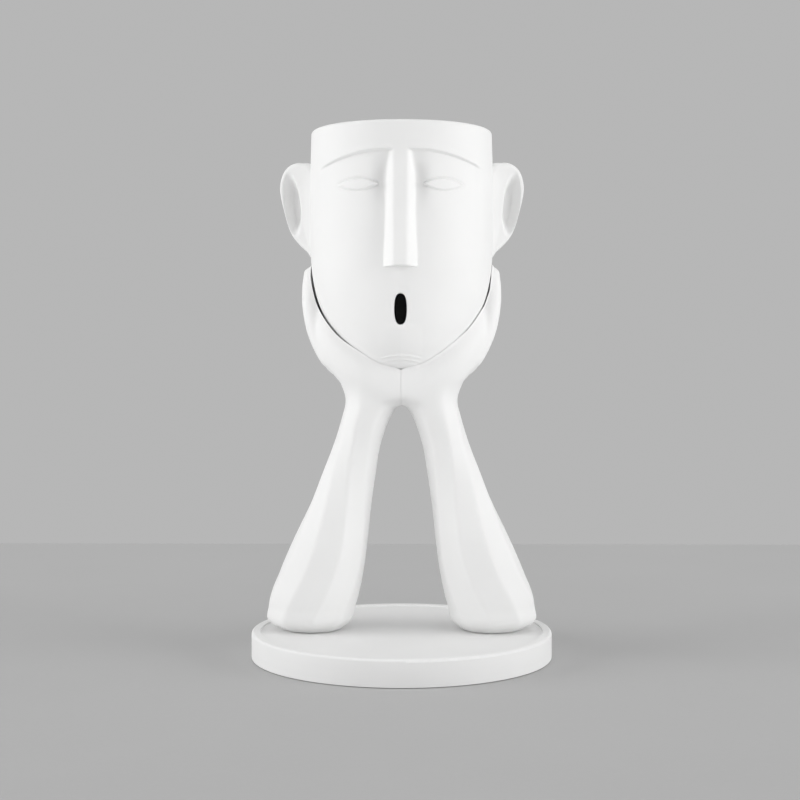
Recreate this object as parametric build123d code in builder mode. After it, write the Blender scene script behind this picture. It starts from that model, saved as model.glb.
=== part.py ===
"""Head planter: a stylised head, open at the crown, cradled by two hands on a round saucer.

Lengths are millimetres and angles are degrees. +Z is up and the face looks along -Y. The origin
is on the ground under the middle of the saucer. Left and right are the figure's own sides, so
its left arm stands on the +X side.
"""
import math
import os

from build123d import *

# Saucer
SAUCER_DIAMETER = 130.0
SAUCER_HEIGHT = 11.3
LIP_WIDTH = 4.0
LIP_HEIGHT = 0.7
SAUCER_EDGE_RADIUS = 1.2
SAUCER_FOOT_RADIUS = 0.3
LIP_INNER_RADIUS = 0.3

# Foot pads let into the underside of the saucer
PAD_COUNT = 4
PAD_DIAMETER = 12.0
PAD_THICKNESS = 1.6
PAD_STANDOFF = 0.2
PAD_CIRCLE_DIAMETER = 104.0
PAD_CLEARANCE = 0.2
PAD_EDGE_RADIUS = 0.15

# Head
HEAD_WIDTH = 78.0
HEAD_DEPTH = 78.0
HEAD_HEIGHT = 104.0
CHIN_HEIGHT = 122.0
HEAD_WALL = 3.2
RIM_RADIUS = 1.2
SECTION_POINTS = 12
SECTION_POWER = 2.1

# Each row gives shares of the head's height, half width, half depth to the front and to the back,
# and the share of a growth of the surface that goes down instead of out
HEAD_SECTION_SHARES = [
    (0.00, 0.130, 0.500, -0.100, 0.95),
    (0.04, 0.370, 0.660, 0.160, 0.86),
    (0.10, 0.580, 0.800, 0.400, 0.73),
    (0.18, 0.765, 0.900, 0.630, 0.56),
    (0.28, 0.900, 0.965, 0.820, 0.35),
    (0.40, 0.980, 1.000, 0.945, 0.17),
    (0.52, 1.005, 1.010, 0.995, 0.03),
    (0.64, 1.010, 1.012, 1.008, 0.00),
    (0.76, 1.008, 1.010, 1.008, 0.00),
    (0.88, 1.002, 1.004, 1.004, 0.00),
    (1.00, 0.993, 0.995, 0.995, 0.00),
]

# Face
BROW_DEPTH = 1.8
BROW_INNER_SHARE = 0.885
BROW_PEAK_SHARE = 0.875
BROW_OUTER_SHARE = 0.810
BROW_SPAN_SHARE = 0.87
EYE_SHARE = 0.750
EYE_SPACING = 35.0
LID_WIDTH = 17.0
LID_HEIGHT = 4.6
LID_RELIEF = 0.8
NOSE_BASE_SHARE = 0.425
NOSE_PROJECTION = 9.0
NOSE_WIDTH = 15.5
BRIDGE_WIDTH = 6.6
NOSE_ROOT_RISE = 2.0
MOUTH_SHARE = 0.262
MOUTH_WIDTH = 4.9
MOUTH_HEIGHT = 12.8

# Each row gives the share of the way up the nose, its share of the nose's width and its share of
# the nose's projection
NOSE_SECTION_SHARES = [(0.0, 1.0, 1.0), (0.66, 0.80, 0.36), (1.0, 0.58, -0.12)]

# Ears
EAR_WIDTH = 14.4
EAR_HEIGHT = 40.0
EAR_THICKNESS = 7.0
EAR_SHARE = 0.692
EAR_SETBACK = 3.0
EAR_SWEEP = 22.0
EAR_HOLLOW_DEPTH = 4.0

# Outline of an ear from its upper root round to its lower root, in shares of its width and height
EAR_OUTLINE_SHARES = [
    (-0.30, 0.36),
    (0.32, 0.495),
    (0.80, 0.44),
    (1.00, 0.24),
    (0.84, -0.05),
    (0.58, -0.30),
    (0.10, -0.475),
    (-0.30, -0.50),
]
EAR_HOLLOW_CENTRE_SHARES = (0.44, 0.06)
EAR_HOLLOW_SIZE_SHARE = 0.62

# Liner pot hung from a ledge inside the head
LEDGE_DROP = 6.0
LEDGE_WIDTH = 2.4
LEDGE_THICKNESS = 3.2
LINER_CLEARANCE = 0.5
LINER_SEAT_GAP = 0.2
LINER_WALL = 1.8
LINER_DEPTH = 56.0
LINER_TAPER = 4.0
FLANGE_THICKNESS = 2.0
DRAIN_DIAMETER = 5.0
DRAIN_COUNT = 6
DRAIN_CIRCLE_SHARE = 0.6

# Forearms
ELBOW_SPREAD = 39.0
ELBOW_WIDTH = 38.0
ELBOW_DEPTH = 34.0
ELBOW_SETBACK = 2.0
WRIST_ADVANCE = 4.0

# Each row gives the share of the way from the saucer's floor to the chin, and the shares of the
# elbow's spread, half width and half depth there
FOREARM_SECTION_SHARES = [
    (0.000, 1.000, 0.620, 0.62),
    (0.030, 1.025, 0.890, 0.89),
    (0.100, 1.005, 1.000, 1.00),
    (0.235, 0.890, 0.955, 0.98),
    (0.360, 0.788, 0.845, 0.92),
    (0.485, 0.688, 0.710, 0.82),
    (0.610, 0.588, 0.610, 0.73),
    (0.735, 0.482, 0.535, 0.66),
    (0.830, 0.400, 0.545, 0.65),
    (0.917, 0.308, 0.632, 0.70),
    (0.960, 0.315, 0.655, 0.74),
]

# Hands
CRADLE_CLEARANCE = 0.4
HEEL_THICKNESS = 14.0
FINGERTIP_THICKNESS = 4.0
HAND_LEAN = 22.0
HAND_WIDTH = 36.0
HAND_FRONT_SHARE = 0.61
WRIST_DROP = 12.0
ARCH_WIDTH = 14.0
ARCH_HEIGHT = 38.0
PALM_LENGTH = 34.0
FINGER_REACH = 64.0
FINGER_GAP = 1.0
FINGER_REACH_SHARES = [0.88, 0.97, 1.0, 0.95]
THUMB_WIDTH = 9.0
THUMB_SPACING = 18.0
FINGERTIP_LEVEL_SHARE = 0.42

# Outline of the palm in shares of the hand's width across and of the palm's length along
PALM_OUTLINE_SHARES = [
    (-0.34, -0.12),
    (-HAND_FRONT_SHARE, 0.36),
    (-HAND_FRONT_SHARE, 1.00),
    (1 - HAND_FRONT_SHARE, 1.00),
    (1 - HAND_FRONT_SHARE, 0.46),
    (0.32, -0.12),
]

# Root and tip of the thumb in shares of the hand's width and the palm's length
THUMB_ROOT_SHARES = (0.30, 0.42)
THUMB_TIP_SHARES = (0.55, 1.22)

# Tenon, screw and dowel that hold the arms
TENON_LENGTH = 16.0
TENON_WIDTH = 12.0
TENON_DEPTH = 4.0
TENON_CLEARANCE = 0.15
SCREW_DIAMETER = 4.0
SCREW_LENGTH = 20.0
SCREW_HEAD_DIAMETER = 8.0
SCREW_HEAD_HEIGHT = 2.6
SCREW_RECESS = 0.6
SCREW_EDGE_RADIUS = 0.8
SCREW_POINT_SHARE = 0.35
SCREW_SLOT_LENGTH = 4.4
SCREW_SLOT_WIDTH = 1.2
SCREW_SLOT_DEPTH = 1.1
SCREW_CLEARANCE = 0.2
THREAD_CLEARANCE = 0.05
DOWEL_DIAMETER = 4.0
DOWEL_LENGTH = 20.0
DOWEL_CHAMFER = 0.5
DOWEL_CLEARANCE = 0.1

OVERRUN = 20.0

os.makedirs("parts", exist_ok=True)

saucer_top = PAD_STANDOFF + SAUCER_HEIGHT
saucer_floor = saucer_top - LIP_HEIGHT
rim_height = CHIN_HEIGHT + HEAD_HEIGHT
ledge_height = rim_height - LEDGE_DROP
wrist_height = CHIN_HEIGHT - WRIST_DROP
elbow_places = [(-ELBOW_SPREAD, ELBOW_SETBACK), (ELBOW_SPREAD, ELBOW_SETBACK)]
side_reach = SAUCER_DIAMETER / 2


def head_level(share):
    """Height of a share of the way from the chin to the rim."""
    return CHIN_HEIGHT + share * HEAD_HEIGHT


def between(start, end, share):
    """Value a share of the way from start to end, held at the two ends."""
    return start + (end - start) * min(max(share, 0), 1)


def section_points(centre_x, centre_y, half_width, half_depth):
    """Points round a section that is a little squarer than an ellipse, from its +X side."""
    points = []
    for step in range(SECTION_POINTS):
        turn = 2 * math.pi * step / SECTION_POINTS
        across = math.copysign(abs(math.cos(turn)) ** (2 / SECTION_POWER), math.cos(turn))
        along = math.copysign(abs(math.sin(turn)) ** (2 / SECTION_POWER), math.sin(turn))
        points.append((centre_x + half_width * across, centre_y + half_depth * along))
    return points


def lofted(sections):
    """Smooth solid through level sections of (height, centre x, centre y, half width, half depth)."""
    with BuildPart() as body:
        for height, centre_x, centre_y, half_width, half_depth in sections:
            with BuildSketch(Plane.XY.offset(height)):
                with BuildLine():
                    Spline(*section_points(centre_x, centre_y, half_width, half_depth), periodic=True)
                make_face()
        loft()
    return body.part


def head_sections(chin_growth, finger_growth):
    """Sections of the head, grown from chin_growth at the chin to finger_growth by the fingertips."""
    sections = []
    for height_share, width_share, front_share, back_share, droop_share in HEAD_SECTION_SHARES:
        growth = between(chin_growth, finger_growth, height_share / FINGERTIP_LEVEL_SHARE)
        outward = growth * math.sqrt(1 - droop_share ** 2)
        front = front_share * HEAD_DEPTH / 2 + outward
        back = back_share * HEAD_DEPTH / 2 + outward
        sections.append((
            head_level(height_share) - growth * droop_share,
            0,
            (back - front) / 2,
            width_share * HEAD_WIDTH / 2 + outward,
            (back + front) / 2,
        ))
    return sections


def head_front(share):
    """Distance of the bare face in front of the axis at a share of the head's height."""
    rows = HEAD_SECTION_SHARES
    for low, high in zip(rows, rows[1:]):
        if low[0] <= share <= high[0]:
            return between(low[2], high[2], (share - low[0]) / (high[0] - low[0])) * HEAD_DEPTH / 2
    return rows[-1][2] * HEAD_DEPTH / 2


head_core = lofted(head_sections(0, 0))
head_cavity = lofted(head_sections(-HEAD_WALL, -HEAD_WALL))
hand_space = lofted(head_sections(CRADLE_CLEARANCE, CRADLE_CLEARANCE))
hand_surface = lofted(head_sections(HEEL_THICKNESS, FINGERTIP_THICKNESS))

# The plane of the eyes and cheeks leans back under the brow
nose_base_height = head_level(NOSE_BASE_SHARE)
brow_inner_height = head_level(BROW_INNER_SHARE)
brow_span = BROW_SPAN_SHARE * HEAD_WIDTH / 2
face_lean = math.degrees(math.atan(BROW_DEPTH / (brow_inner_height - nose_base_height)))
face_hinge = Axis((0, 0, nose_base_height), (-1, 0, 0))
face_core = head_core.rotate(face_hinge, face_lean)
lid_core = lofted(head_sections(LID_RELIEF, LID_RELIEF)).rotate(face_hinge, face_lean)
front_plane = Plane(origin=(0, -HEAD_DEPTH, 0), x_dir=(1, 0, 0), z_dir=(0, -1, 0))
face_reach = -(HEAD_DEPTH - HEAD_WALL)

with BuildPart() as brow_cut:
    with BuildSketch(front_plane):
        with BuildLine():
            Polyline(
                (-brow_span, head_level(BROW_OUTER_SHARE)),
                (-brow_span, nose_base_height),
                (brow_span, nose_base_height),
                (brow_span, head_level(BROW_OUTER_SHARE)),
            )
            ThreePointArc(
                (brow_span, head_level(BROW_OUTER_SHARE)),
                (brow_span / 2, head_level(BROW_PEAK_SHARE)),
                (0, brow_inner_height),
            )
            ThreePointArc(
                (0, brow_inner_height),
                (-brow_span / 2, head_level(BROW_PEAK_SHARE)),
                (-brow_span, head_level(BROW_OUTER_SHARE)),
            )
        make_face()
    extrude(amount=face_reach)
    add(face_core, mode=Mode.SUBTRACT)

# Closed eyelids stand a little proud of the face plane
eye_height = head_level(EYE_SHARE)
eye_places = [(-EYE_SPACING / 2, eye_height), (EYE_SPACING / 2, eye_height)]

with BuildPart() as lids:
    with BuildSketch(front_plane):
        with Locations(*eye_places):
            Ellipse(LID_WIDTH / 2, LID_HEIGHT / 2)
    extrude(amount=face_reach)
    add(lid_core, mode=Mode.INTERSECT)

# The nose is a long wedge with a flat bridge, and its root runs into the forehead above the brow
nose_top = brow_inner_height + NOSE_ROOT_RISE

with BuildPart() as nose:
    for rise_share, width_share, projection_share in NOSE_SECTION_SHARES:
        level = between(nose_base_height, nose_top, rise_share)
        face_front = head_front((level - CHIN_HEIGHT) / HEAD_HEIGHT)
        root = -(face_front - HEAD_WALL)
        tip = -(face_front + NOSE_PROJECTION * projection_share)
        half_root = NOSE_WIDTH * width_share / 2
        half_bridge = BRIDGE_WIDTH / 2
        with BuildSketch(Plane.XY.offset(level)):
            with BuildLine():
                Polyline(
                    (half_root, root),
                    (-half_root, root),
                    (-half_bridge, tip),
                    (half_bridge, tip),
                    close=True,
                )
            make_face()
    loft(ruled=True)


def ear_points(size_share):
    """Ear outline shrunk to a share of its size about the middle of its hollow."""
    centre_across, centre_up = EAR_HOLLOW_CENTRE_SHARES
    points = []
    for across, up in EAR_OUTLINE_SHARES:
        points.append((
            EAR_WIDTH * (centre_across + (across - centre_across) * size_share),
            EAR_HEIGHT * (centre_up + (up - centre_up) * size_share),
        ))
    return points


ear_plane = Plane(
    origin=(HEAD_WIDTH / 2, EAR_SETBACK, head_level(EAR_SHARE)),
    x_dir=(math.cos(math.radians(EAR_SWEEP)), math.sin(math.radians(EAR_SWEEP)), 0),
    z_dir=(math.sin(math.radians(EAR_SWEEP)), -math.cos(math.radians(EAR_SWEEP)), 0),
)

with BuildPart() as ear:
    with BuildSketch(ear_plane.offset(-EAR_THICKNESS / 2)):
        with BuildLine():
            shell_line = Spline(*ear_points(1))
            Line(shell_line @ 1, shell_line @ 0)
        make_face()
    extrude(amount=EAR_THICKNESS)
    with BuildSketch(ear_plane.offset(EAR_THICKNESS / 2)):
        with BuildLine():
            hollow_line = Spline(*ear_points(EAR_HOLLOW_SIZE_SHARE))
            Line(hollow_line @ 1, hollow_line @ 0)
        make_face()
    extrude(amount=-EAR_HOLLOW_DEPTH, mode=Mode.SUBTRACT)


# The hollow of the head keeps a ledge below the rim for the liner's flange
rim_width_share, rim_depth_share = HEAD_SECTION_SHARES[-1][1:3]
cavity_radius = min(rim_width_share * HEAD_WIDTH, rim_depth_share * HEAD_DEPTH) / 2 - HEAD_WALL
flange_radius = cavity_radius - LINER_CLEARANCE
ledge_radius = flange_radius - LEDGE_WIDTH

with BuildPart() as hollow:
    add(head_cavity)
    extrude(hollow.faces().sort_by(Axis.Z)[-1], amount=OVERRUN)
    with BuildSketch(Plane.XZ):
        with BuildLine():
            Polyline(
                (ledge_radius, ledge_height),
                (side_reach, ledge_height),
                (side_reach, ledge_height - LEDGE_THICKNESS - (side_reach - ledge_radius)),
                (ledge_radius, ledge_height - LEDGE_THICKNESS),
                close=True,
            )
        make_face()
    revolve(axis=Axis.Z, mode=Mode.SUBTRACT)

with BuildPart() as head_pot:
    add(head_core)
    add(brow_cut.part, mode=Mode.SUBTRACT)
    add(lids.part)
    add(nose.part)
    add(ear.part)
    mirror(ear.part, about=Plane.YZ)
    add(hollow.part, mode=Mode.SUBTRACT)
    with BuildSketch(front_plane):
        with Locations((0, head_level(MOUTH_SHARE))):
            Ellipse(MOUTH_WIDTH / 2, MOUTH_HEIGHT / 2)
    extrude(amount=-HEAD_DEPTH, mode=Mode.SUBTRACT)
    fillet(head_pot.edges().group_by(Axis.Z)[-1], RIM_RADIUS)
head_pot.part.label = "head_pot"
export_step(head_pot.part, "parts/head_pot.step")

# The liner hangs by its flange inside the head, clear of the mouth
liner_seat = ledge_height + LINER_SEAT_GAP
liner_top_radius = ledge_radius - LINER_CLEARANCE
liner_floor_radius = liner_top_radius - LINER_TAPER
liner_floor = liner_seat - LINER_DEPTH

with BuildPart() as liner_pot:
    with BuildSketch(Plane.XZ):
        with BuildLine():
            Polyline(
                (0, liner_floor),
                (liner_floor_radius, liner_floor),
                (liner_top_radius, liner_seat),
                (flange_radius, liner_seat),
                (flange_radius, liner_seat + FLANGE_THICKNESS),
                (liner_top_radius - LINER_WALL, liner_seat + FLANGE_THICKNESS),
                (liner_floor_radius - LINER_WALL, liner_floor + LINER_WALL),
                (0, liner_floor + LINER_WALL),
                close=True,
            )
        make_face()
    revolve(axis=Axis.Z)
    with Locations((0, 0, liner_floor + LINER_WALL)):
        Hole(DRAIN_DIAMETER / 2, LINER_WALL)
        with PolarLocations(DRAIN_CIRCLE_SHARE * liner_floor_radius, DRAIN_COUNT):
            Hole(DRAIN_DIAMETER / 2, LINER_WALL)
liner_pot.part.label = "liner_pot"
export_step(liner_pot.part, "parts/liner_pot.step")

# Forearm, leaning in and a little forward from the elbow to the wrist
forearm_sections = []
for rise_share, spread_share, width_share, depth_share in FOREARM_SECTION_SHARES:
    forearm_sections.append((
        between(saucer_floor, CHIN_HEIGHT, rise_share),
        spread_share * ELBOW_SPREAD,
        between(ELBOW_SETBACK, -WRIST_ADVANCE, rise_share),
        width_share * ELBOW_WIDTH / 2,
        depth_share * ELBOW_DEPTH / 2,
    ))
forearm = lofted(forearm_sections)

# Side outline of a hand: the palm, four fingers and a thumb, leaning back along the cheek
hand_plane = Plane(
    origin=(0, -WRIST_ADVANCE, wrist_height),
    x_dir=(0, math.cos(math.radians(HAND_LEAN)), -math.sin(math.radians(HAND_LEAN))),
    z_dir=(1, 0, 0),
)
finger_count = len(FINGER_REACH_SHARES)
finger_width = (HAND_WIDTH - FINGER_GAP * (finger_count - 1)) / finger_count
palm_points = []
for across_share, along_share in PALM_OUTLINE_SHARES:
    palm_points.append((across_share * HAND_WIDTH, along_share * PALM_LENGTH))

with BuildPart() as hand_outline:
    with BuildSketch(hand_plane):
        with BuildLine():
            Polyline(*palm_points, close=True)
        make_face()
        for number, reach_share in enumerate(FINGER_REACH_SHARES):
            across = (number + 1 / 2) * finger_width + number * FINGER_GAP - HAND_FRONT_SHARE * HAND_WIDTH
            finger_length = FINGER_REACH * reach_share - PALM_LENGTH / 2
            with Locations((across, PALM_LENGTH / 2 + finger_length / 2)):
                SlotOverall(finger_length, finger_width, rotation=90)
    extrude(amount=side_reach)
    with BuildSketch(hand_plane.offset(THUMB_SPACING / 2)):
        with BuildLine():
            thumb_line = Line(
                (THUMB_ROOT_SHARES[0] * HAND_WIDTH, THUMB_ROOT_SHARES[1] * PALM_LENGTH),
                (THUMB_TIP_SHARES[0] * HAND_WIDTH, THUMB_TIP_SHARES[1] * PALM_LENGTH),
            )
        SlotCenterPoint(thumb_line @ (1 / 2), thumb_line @ 1, THUMB_WIDTH)
    extrude(amount=side_reach)

with BuildPart() as hand:
    add(hand_surface)
    add(hand_outline.part, mode=Mode.INTERSECT)

dowel_height = (wrist_height + CHIN_HEIGHT) / 2
screw_seat = PAD_STANDOFF + SCREW_RECESS + SCREW_HEAD_HEIGHT

# What is cut from an arm: the far side of the middle plane, the arch between the wrists,
# and the holes for its screw and for the dowel
with BuildPart() as arm_cuts:
    with BuildSketch(Plane.YZ):
        with Locations((0, rim_height / 2)):
            Rectangle(SAUCER_DIAMETER, rim_height)
    extrude(amount=-side_reach)
    with BuildSketch(front_plane):
        with Locations((0, wrist_height - ARCH_HEIGHT / 2)):
            Ellipse(ARCH_WIDTH / 2, ARCH_HEIGHT / 2)
    extrude(amount=-2 * HEAD_DEPTH)
    with BuildSketch(Plane.XY.offset(screw_seat)):
        with Locations((ELBOW_SPREAD, ELBOW_SETBACK)):
            Circle(SCREW_DIAMETER / 2 + THREAD_CLEARANCE)
    extrude(amount=SCREW_LENGTH + SCREW_CLEARANCE)
    with BuildSketch(Plane.YZ):
        with Locations((-WRIST_ADVANCE, dowel_height)):
            Circle(DOWEL_DIAMETER / 2 + DOWEL_CLEARANCE)
    extrude(amount=DOWEL_LENGTH / 2 + DOWEL_CLEARANCE)

with BuildPart() as left_arm:
    add(forearm)
    with BuildSketch(Plane.XY.offset(saucer_floor)):
        with Locations((ELBOW_SPREAD, ELBOW_SETBACK)):
            SlotOverall(TENON_LENGTH, TENON_WIDTH)
    extrude(amount=-TENON_DEPTH)
    add(hand.part)
    add([hand_space, arm_cuts.part], mode=Mode.SUBTRACT)
left_arm.part.label = "left_arm"
export_step(left_arm.part, "parts/left_arm.step")

with BuildPart() as right_arm:
    mirror(left_arm.part, about=Plane.YZ)
right_arm.part.label = "right_arm"
export_step(right_arm.part, "parts/right_arm.step")

with BuildPart() as wrist_dowel:
    with BuildSketch(Plane.YZ.offset(-DOWEL_LENGTH / 2)):
        with Locations((-WRIST_ADVANCE, dowel_height)):
            Circle(DOWEL_DIAMETER / 2)
    extrude(amount=DOWEL_LENGTH)
    chamfer(wrist_dowel.edges().filter_by(GeomType.CIRCLE), DOWEL_CHAMFER)
wrist_dowel.part.label = "wrist_dowel"
export_step(wrist_dowel.part, "parts/wrist_dowel.step")

# Saucer with its lip, sockets for the arms, and screw holes and pad pockets from below
underside = Plane(origin=(0, 0, PAD_STANDOFF), x_dir=(1, 0, 0), z_dir=(0, 0, -1))

with BuildPart() as base_saucer:
    with BuildSketch(Plane.XY.offset(PAD_STANDOFF)):
        Circle(SAUCER_DIAMETER / 2)
    extrude(amount=SAUCER_HEIGHT)
    fillet(base_saucer.edges().group_by(Axis.Z)[-1], SAUCER_EDGE_RADIUS)
    fillet(base_saucer.edges().group_by(Axis.Z)[0], SAUCER_FOOT_RADIUS)
    with BuildSketch(Plane.XY.offset(saucer_top)):
        Circle(SAUCER_DIAMETER / 2 - LIP_WIDTH)
    extrude(amount=-LIP_HEIGHT, mode=Mode.SUBTRACT)
    fillet(base_saucer.edges().group_by(Axis.Z)[-1].sort_by(SortBy.RADIUS)[0], LIP_INNER_RADIUS)
    with BuildSketch(Plane.XY.offset(saucer_floor)):
        with Locations(*elbow_places):
            SlotOverall(TENON_LENGTH + 2 * TENON_CLEARANCE, TENON_WIDTH + 2 * TENON_CLEARANCE)
    extrude(amount=-(TENON_DEPTH + TENON_CLEARANCE), mode=Mode.SUBTRACT)
    with Locations(underside):
        with Locations((-ELBOW_SPREAD, -ELBOW_SETBACK), (ELBOW_SPREAD, -ELBOW_SETBACK)):
            CounterBoreHole(
                SCREW_DIAMETER / 2 + SCREW_CLEARANCE,
                SCREW_HEAD_DIAMETER / 2 + SCREW_CLEARANCE,
                SCREW_RECESS + SCREW_HEAD_HEIGHT,
                SAUCER_HEIGHT,
            )
        with PolarLocations(PAD_CIRCLE_DIAMETER / 2, PAD_COUNT, start_angle=180 / PAD_COUNT):
            Hole(PAD_DIAMETER / 2 + PAD_CLEARANCE, PAD_THICKNESS - PAD_STANDOFF)
base_saucer.part.label = "base_saucer"
export_step(base_saucer.part, "parts/base_saucer.step")

with BuildPart() as foot_pads:
    with BuildSketch():
        with PolarLocations(PAD_CIRCLE_DIAMETER / 2, PAD_COUNT, start_angle=180 / PAD_COUNT):
            Circle(PAD_DIAMETER / 2)
    extrude(amount=PAD_THICKNESS)
    fillet(foot_pads.edges().group_by(Axis.Z)[0], PAD_EDGE_RADIUS)
foot_pads.part.label = "foot_pads"
export_step(foot_pads.part, "parts/foot_pads.step")

# Screws driven up through the saucer, the tenons and the elbows
with BuildPart() as arm_screws:
    with BuildSketch(Plane.XY.offset(screw_seat)):
        with Locations(*elbow_places):
            Circle(SCREW_HEAD_DIAMETER / 2)
    extrude(amount=-SCREW_HEAD_HEIGHT)
    fillet(arm_screws.edges().group_by(Axis.Z)[0], SCREW_EDGE_RADIUS)
    with BuildSketch(Plane.XY.offset(screw_seat)):
        with Locations(*elbow_places):
            Circle(SCREW_DIAMETER / 2)
    extrude(amount=SCREW_LENGTH)
    chamfer(arm_screws.edges().group_by(Axis.Z)[-1], SCREW_DIAMETER * SCREW_POINT_SHARE)
    with BuildSketch(Plane.XY.offset(screw_seat - SCREW_HEAD_HEIGHT)):
        with Locations(*elbow_places):
            Rectangle(SCREW_SLOT_LENGTH, SCREW_SLOT_WIDTH)
            Rectangle(SCREW_SLOT_WIDTH, SCREW_SLOT_LENGTH)
    extrude(amount=SCREW_SLOT_DEPTH, mode=Mode.SUBTRACT)
arm_screws.part.label = "arm_screws"
export_step(arm_screws.part, "parts/arm_screws.step")
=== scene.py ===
"""Looks of the head planter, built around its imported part.

Sizes in the classes are millimetres, and every mesh is written in metres in the part's own frame:
+Z is up, the face looks along -Y, and the figure's left arm stands on the +X side.
"""
import logging
import math
from contextlib import contextmanager
from dataclasses import dataclass
from enum import Enum
from typing import Any, Dict, Iterator, List, Optional, Sequence, Tuple, Union

import bpy
import numpy as np
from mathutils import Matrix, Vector


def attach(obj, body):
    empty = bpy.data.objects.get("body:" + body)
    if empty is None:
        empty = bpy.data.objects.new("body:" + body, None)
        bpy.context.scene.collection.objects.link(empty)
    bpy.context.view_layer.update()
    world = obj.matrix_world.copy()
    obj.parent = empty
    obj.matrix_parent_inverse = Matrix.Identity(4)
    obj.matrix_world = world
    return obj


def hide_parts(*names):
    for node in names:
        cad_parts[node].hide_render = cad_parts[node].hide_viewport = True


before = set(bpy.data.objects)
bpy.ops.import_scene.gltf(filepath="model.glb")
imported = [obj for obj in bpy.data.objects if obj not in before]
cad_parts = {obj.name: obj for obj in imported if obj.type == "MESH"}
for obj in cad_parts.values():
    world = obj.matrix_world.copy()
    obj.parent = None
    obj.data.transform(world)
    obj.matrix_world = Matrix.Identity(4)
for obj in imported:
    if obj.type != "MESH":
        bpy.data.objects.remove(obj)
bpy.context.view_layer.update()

MM = 0.001
LOG = logging.getLogger("head_planter")
Rows = Sequence[Tuple[float, ...]]
Pair = Tuple[float, float]
Triple = Tuple[float, float, float]
Point = Triple
Colour = Triple
WELD = 0.002 * MM


class Side(Enum):
    """The figure's own sides."""

    LEFT = 1.0
    RIGHT = -1.0


class Cut(Enum):
    """What a boolean tool does to the piece it meets."""

    AWAY = "DIFFERENCE"
    TOGETHER = "UNION"


# Bench tools shared by the sub-assemblies


def pick_only(piece: bpy.types.Object) -> None:
    """Selects one object alone and makes it active."""
    bpy.ops.object.select_all(action="DESELECT")
    piece.select_set(True)
    bpy.context.view_layer.objects.active = piece


@contextmanager
def editing(piece: bpy.types.Object) -> Iterator[None]:
    """Opens a piece in edit mode with all of it selected.

    Args:
        piece: The mesh object to open.
    """
    pick_only(piece)
    bpy.ops.object.mode_set(mode="EDIT")
    bpy.ops.mesh.select_all(action="SELECT")
    yield
    bpy.ops.object.mode_set(mode="OBJECT")


def skinned(name: str, rings: np.ndarray) -> bpy.types.Object:
    """Lays a grid over rings of points and closes it into one skin.

    Args:
        name: Name of the new object.
        rings: Points in millimetres, in an array of rows, columns and three coordinates. A first
            or last ring drawn together to one point closes that end.

    Returns:
        The new mesh object, with its faces pointing outwards.
    """
    rows, columns, _ = rings.shape
    bpy.ops.object.select_all(action="DESELECT")
    bpy.ops.mesh.primitive_grid_add(x_subdivisions=columns, y_subdivisions=rows - 1, size=1)
    piece = bpy.context.active_object
    piece.name = name
    piece.data.name = name
    laid = np.concatenate([rings, rings[:, :1]], axis=1) * MM
    piece.data.vertices.foreach_set("co", laid.astype(np.float32).ravel())
    piece.data.update()
    with editing(piece):
        bpy.ops.mesh.remove_doubles(threshold=WELD)
        bpy.ops.mesh.normals_make_consistent(inside=False)
    return piece


def with_modifier(piece: bpy.types.Object, kind: str, **settings: Any) -> None:
    """Adds a modifier, sets it and applies it.

    Args:
        piece: The object to change.
        kind: Blender's name of the modifier type.
        **settings: Values of the modifier's own settings.
    """
    pick_only(piece)
    bpy.ops.object.modifier_add(type=kind)
    modifier = piece.modifiers[-1]
    for key, value in settings.items():
        setattr(modifier, key, value)
    bpy.ops.object.modifier_apply(modifier=modifier.name)


def weigh(piece: bpy.types.Object, name: str, weights: np.ndarray) -> None:
    """Makes a vertex group with a weight for each vertex."""
    group = piece.vertex_groups.new(name=name)
    count = 20
    steps = np.round(np.clip(weights, 0.0, 1.0) * count).astype(int)
    for step in range(1, count + 1):
        group.add(np.flatnonzero(steps == step).tolist(), step / count, "REPLACE")


def combined(piece: bpy.types.Object, tool: bpy.types.Object, cut: Cut) -> None:
    """Cuts a tool away from a piece or joins it to the piece, and removes the tool."""
    with_modifier(piece, "BOOLEAN", operation=cut.value, object=tool, solver="EXACT")
    bpy.data.objects.remove(tool)


def joined(pieces: List[bpy.types.Object], name: str) -> bpy.types.Object:
    """Joins overlapping pieces into one object.

    Args:
        pieces: Mesh objects, of which the first one is kept.
        name: Name of the result.

    Returns:
        The joined object.
    """
    pick_only(pieces[0])
    for piece in pieces[1:]:
        piece.select_set(True)
    bpy.ops.object.join()
    pieces[0].name = name
    pieces[0].data.name = name
    return pieces[0]


def shade(piece: bpy.types.Object, angle: float) -> None:
    """Smooths the shading of all faces that meet at less than an angle in degrees."""
    pick_only(piece)
    bpy.ops.object.shade_smooth_by_angle(angle=math.radians(angle))


# Shape tools


def smooth_step(value: np.ndarray) -> np.ndarray:
    """Eases from 0 to 1 as the value goes from 0 to 1."""
    held = np.clip(value, 0.0, 1.0)
    return held * held * (3.0 - 2.0 * held)


def bell(value: np.ndarray, spread: float) -> np.ndarray:
    """Bell curve of height 1 about zero."""
    return np.exp(-0.5 * (value / spread) ** 2)


def soft_least(first: np.ndarray, second: np.ndarray, radius: float) -> np.ndarray:
    """Lesser of two values, with the corner between them rounded."""
    blend = np.clip(0.5 + 0.5 * (second - first) / radius, 0.0, 1.0)
    return second + (first - second) * blend - radius * blend * (1.0 - blend)


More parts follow.
